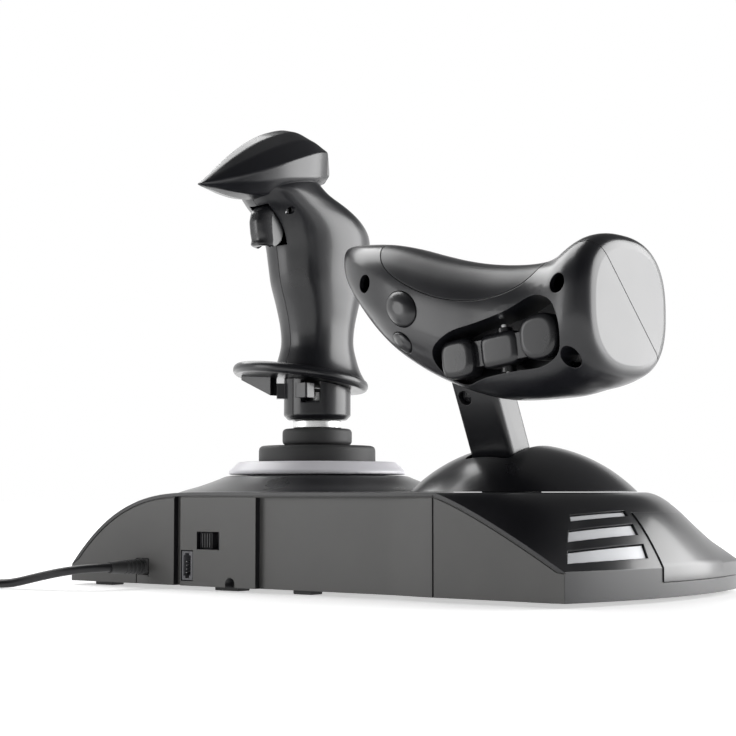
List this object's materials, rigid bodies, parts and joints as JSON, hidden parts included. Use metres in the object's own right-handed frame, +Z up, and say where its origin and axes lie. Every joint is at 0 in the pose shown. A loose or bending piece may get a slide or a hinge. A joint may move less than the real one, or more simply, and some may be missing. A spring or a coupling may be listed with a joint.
{
  "type": "desktop flight stick and throttle",
  "caption": "Desktop flight controller with a sprung twisting stick, a hinged throttle lever and a trailing USB lead on one wide base.",
  "frame": {"origin": "on the desk under the middle of the controller's box, the cable left out", "axes": "+X to the pilot's right, +Y away from the pilot, +Z up"},
  "size_m": [0.3664, 0.3247, 0.2356],
  "materials": {
    "casing": "black satin moulding",
    "wall": "dark grey fine texture",
    "grip": "black satin moulding",
    "soft_inlay": "soft-touch black",
    "button": "black satin moulding",
    "silver": "bright silver paint",
    "bezel": "light grey moulding",
    "steel": "bright",
    "rubber": "matt black",
    "inner": "plain grey moulding",
    "board": "green lacquer",
    "cable": "black sheath"
  },
  "bodies": {
    "base": {"upper_casing": "casing", "lower_casing": "wall", "foot_rear_right": "rubber", "foot_rear_middle": "rubber", "foot_rear_centre": "rubber", "foot_rear_left": "rubber", "foot_front_left": "rubber", "foot_front_right": "rubber", "left_wing_plate": "casing", "right_wing_plate": "casing", "left_wing_stripes": "silver", "right_wing_stripes": "silver", "rudder_jack": "inner", "mode_switch_body": "inner", "bezel_ring": "bezel", "throttle_dome": "casing", "throttle_bracket": "inner", "friction_pad": "rubber", "throttle_sensor": "inner", "gimbal_frame": "inner", "pitch_sensor": "inner", "centring_spring": "steel", "main_board": "board", "ballast_plate": "steel", "strain_relief": "rubber", "usb_cable": "cable", "cable_coil": "cable", "usb_plug_body": "rubber", "usb_plug_shell": "steel"},
    "mode_switch": {"mode_switch_knob": "button"},
    "throttle": {"throttle_axle": "steel", "throttle_arm": "casing", "throttle_front_shell": "grip", "throttle_palm_shell": "grip", "throttle_soft_top": "soft_inlay", "rocker_pin": "steel"},
    "rocker": {"rudder_rocker": "button"},
    "throttle_large_button": {"throttle_button_large": "button"},
    "throttle_small_button": {"throttle_button_small": "button"},
    "yoke": {"pitch_yoke": "inner", "roll_sensor": "inner"},
    "stick": {"roll_block": "inner", "stick_shaft": "steel", "skirt_lower": "rubber", "skirt_upper": "rubber", "collar": "steel"},
    "grip": {"neck": "grip", "twist_sensor": "inner", "hand_rest": "grip", "grip_left_shell": "grip", "grip_right_shell": "grip", "control_plate": "casing", "trigger_pin": "steel", "grip_board": "board"},
    "twist_lock": {"twist_lock_tab": "grip"},
    "trigger": {"trigger": "button"},
    "hat_cradle": {"hat_carrier": "inner"},
    "hat": {"hat_cap": "button"},
    "left_head_button": {"head_button_left": "button"},
    "right_head_button": {"head_button_right": "button"}
  },
  "joints": [
    {"name": "mode_switch_slide", "type": "slide", "parent": "base", "child": "mode_switch", "axis": [-1, 0, 0], "range_m": [0, 0.004]},
    {"name": "throttle_lever", "type": "hinge", "parent": "base", "child": "throttle", "pos_m": [-0.07595, 0.03075, 0.0265], "axis": [1, 0, 0], "range_deg": [-4, 50]},
    {"name": "rudder_rock", "type": "hinge", "parent": "throttle", "child": "rocker", "pos_m": [-0.10795, 0.08975, 0.1065], "axis": [0.1219, 0, 0.9925], "range_deg": [-8, 8], "stiffness_Nm_per_rad": 0.15},
    {"name": "throttle_large_press", "type": "slide", "parent": "throttle", "child": "throttle_large_button", "axis": [0, -1, 0], "range_m": [0, 0.001], "stiffness_N_per_m": 400},
    {"name": "throttle_small_press", "type": "slide", "parent": "throttle", "child": "throttle_small_button", "axis": [0, -1, 0], "range_m": [0, 0.001], "stiffness_N_per_m": 400},
    {"name": "stick_pitch", "type": "hinge", "parent": "base", "child": "yoke", "pos_m": [0.07105, 0.00575, 0.046], "axis": [1, 0, 0], "range_deg": [-14, 14], "stiffness_Nm_per_rad": 1.6},
    {"name": "stick_roll", "type": "hinge", "parent": "yoke", "child": "stick", "pos_m": [0.07105, 0.00575, 0.046], "axis": [0, 1, 0], "range_deg": [-14, 14], "stiffness_Nm_per_rad": 1.6},
    {"name": "grip_twist", "type": "hinge", "parent": "stick", "child": "grip", "pos_m": [0.07105, 0.00575, 0.046], "axis": [0, 0, 1], "range_deg": [-15, 15], "stiffness_Nm_per_rad": 0.8},
    {"name": "twist_lock_slide", "type": "slide", "parent": "grip", "child": "twist_lock", "axis": [0, 0, -1], "range_m": [0, 0.0018]},
    {"name": "trigger_pull", "type": "hinge", "parent": "grip", "child": "trigger", "pos_m": [0.07393, 0.03862, 0.1906], "axis": [-0.9962, 0.0872, 0], "range_deg": [0, 8], "stiffness_Nm_per_rad": 0.1},
    {"name": "hat_up_down", "type": "hinge", "parent": "grip", "child": "hat_cradle", "pos_m": [0.07192, 0.01571, 0.2216], "axis": [0.9962, -0.0872, 0], "range_deg": [-6, 6], "stiffness_Nm_per_rad": 0.05},
    {"name": "hat_left_right", "type": "hinge", "parent": "hat_cradle", "child": "hat", "pos_m": [0.07192, 0.01571, 0.2216], "axis": [0, 0, 1], "range_deg": [-6, 6], "stiffness_Nm_per_rad": 0.05},
    {"name": "left_head_press", "type": "slide", "parent": "grip", "child": "left_head_button", "axis": [0.0872, 0.9962, 0], "range_m": [0, 0.0008], "stiffness_N_per_m": 400},
    {"name": "right_head_press", "type": "slide", "parent": "grip", "child": "right_head_button", "axis": [0.0872, 0.9962, 0], "range_m": [0, 0.0008], "stiffness_N_per_m": 400}
  ]
}
